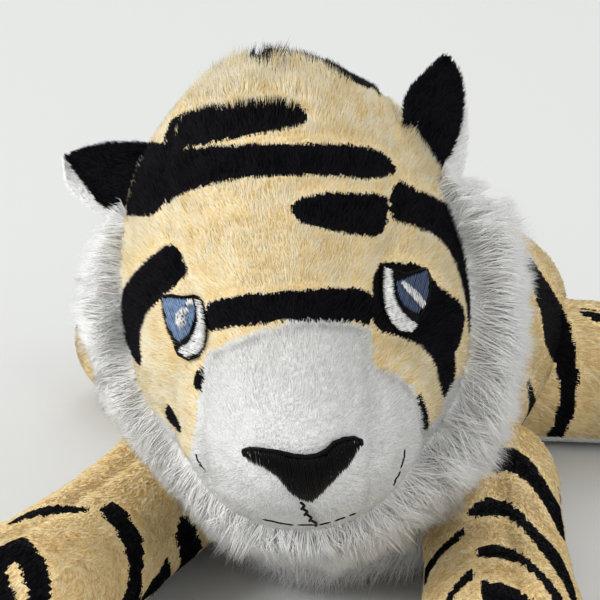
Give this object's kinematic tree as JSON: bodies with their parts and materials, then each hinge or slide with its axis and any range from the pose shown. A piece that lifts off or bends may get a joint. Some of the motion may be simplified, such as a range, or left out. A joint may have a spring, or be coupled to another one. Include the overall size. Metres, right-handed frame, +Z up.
{
  "type": "plush tiger",
  "caption": "Small stuffed plush tiger lying down: striped pile skin over fibre stuffing, white ruff, embroidered face, soft legs, ears and tail.",
  "frame": {"origin": "under the belly, on the surface that the tiger lies on, midway across the torso", "axes": "+Z up, -Y the way the tiger faces, +X the tiger's left"},
  "size_m": [0.1292, 0.2539, 0.0983],
  "materials": {
    "striped_plush": "cream and golden short pile with black stripes",
    "white_plush": "short white pile",
    "long_white_pile": "long shaggy white pile",
    "black_plush": "short black pile",
    "black_thread": "satin stitched thread",
    "white_thread": "satin stitched thread",
    "iris_thread": "satin stitched thread",
    "stuffing": "loose polyester fibre"
  },
  "bodies": {
    "torso": {"back_panel_left": "striped_plush", "back_panel_right": "striped_plush", "belly_panel": "white_plush", "torso_stuffing": "stuffing"},
    "neck": {"neck_stuffing": "stuffing"},
    "head": {"head_gusset": "striped_plush", "head_side_left": "striped_plush", "head_side_right": "striped_plush", "head_nape_left": "striped_plush", "head_nape_right": "striped_plush", "muzzle_bridge": "white_plush", "muzzle_left": "white_plush", "muzzle_right": "white_plush", "chin_panel": "white_plush", "head_stuffing": "stuffing", "ruff_left": "long_white_pile", "ruff_right": "long_white_pile", "eye_left_outline": "black_thread", "eye_left_white": "white_thread", "eye_left_iris": "iris_thread", "eye_left_glint": "white_thread", "eye_right_outline": "black_thread", "eye_right_white": "white_thread", "eye_right_iris": "iris_thread", "eye_right_glint": "white_thread", "nose_embroidery": "black_thread", "mouth_embroidery": "black_thread"},
    "ear_left": {"ear_left_black": "black_plush", "ear_left_lining": "white_plush"},
    "ear_right": {"ear_right_black": "black_plush", "ear_right_lining": "white_plush"},
    "foreleg_left": {"foreleg_left_outer": "striped_plush", "foreleg_left_inner": "striped_plush", "foreleg_left_stuffing": "stuffing"},
    "foreleg_right": {"foreleg_right_outer": "striped_plush", "foreleg_right_inner": "striped_plush", "foreleg_right_stuffing": "stuffing"},
    "hind_leg_left": {"hind_leg_left_outer": "striped_plush", "hind_leg_left_inner": "striped_plush", "hind_leg_left_stuffing": "stuffing"},
    "hind_leg_right": {"hind_leg_right_outer": "striped_plush", "hind_leg_right_inner": "striped_plush", "hind_leg_right_stuffing": "stuffing"},
    "tail": {"tail_skin": "striped_plush", "tail_stuffing": "stuffing"}
  },
  "joints": [
    {"name": "neck_turn", "type": "hinge", "parent": "torso", "child": "neck", "pos_m": [0, -0.036, 0.031], "axis": [0, -0.7314, 0.682], "range_deg": [-8, 8], "stiffness_Nm_per_rad": 0.8},
    {"name": "head_nod", "type": "hinge", "parent": "neck", "child": "head", "pos_m": [0, -0.036, 0.031], "axis": [1, 0, 0], "range_deg": [-8, 3], "stiffness_Nm_per_rad": 1.2},
    {"name": "ear_left_fold", "type": "hinge", "parent": "head", "child": "ear_left", "pos_m": [0.0189, -0.05664, 0.08591], "axis": [0.5995, 0.1057, -0.7934], "range_deg": [-15, 15], "stiffness_Nm_per_rad": 0.01},
    {"name": "ear_right_fold", "type": "hinge", "parent": "head", "child": "ear_right", "pos_m": [-0.02707, -0.06474, 0.07893], "axis": [0.3449, 0.0608, 0.9367], "range_deg": [-15, 15], "stiffness_Nm_per_rad": 0.01},
    {"name": "foreleg_left_swing", "type": "hinge", "parent": "torso", "child": "foreleg_left", "pos_m": [0.0259, -0.027, 0.012], "axis": [0, 0, 1], "range_deg": [-4, 30], "stiffness_Nm_per_rad": 0.03},
    {"name": "foreleg_right_swing", "type": "hinge", "parent": "torso", "child": "foreleg_right", "pos_m": [-0.0259, -0.027, 0.012], "axis": [0, 0, 1], "range_deg": [-30, 4], "stiffness_Nm_per_rad": 0.03},
    {"name": "hind_leg_left_swing", "type": "hinge", "parent": "torso", "child": "hind_leg_left", "pos_m": [0.025, 0.027, 0.0135], "axis": [0, 0, 1], "range_deg": [-20, 20], "stiffness_Nm_per_rad": 0.03},
    {"name": "hind_leg_right_swing", "type": "hinge", "parent": "torso", "child": "hind_leg_right", "pos_m": [-0.025, 0.027, 0.0135], "axis": [0, 0, 1], "range_deg": [-20, 20], "stiffness_Nm_per_rad": 0.03},
    {"name": "tail_swing", "type": "hinge", "parent": "torso", "child": "tail", "pos_m": [0, 0.058, 0.014], "axis": [0, 0, 1], "range_deg": [-25, 25], "stiffness_Nm_per_rad": 0.01}
  ]
}
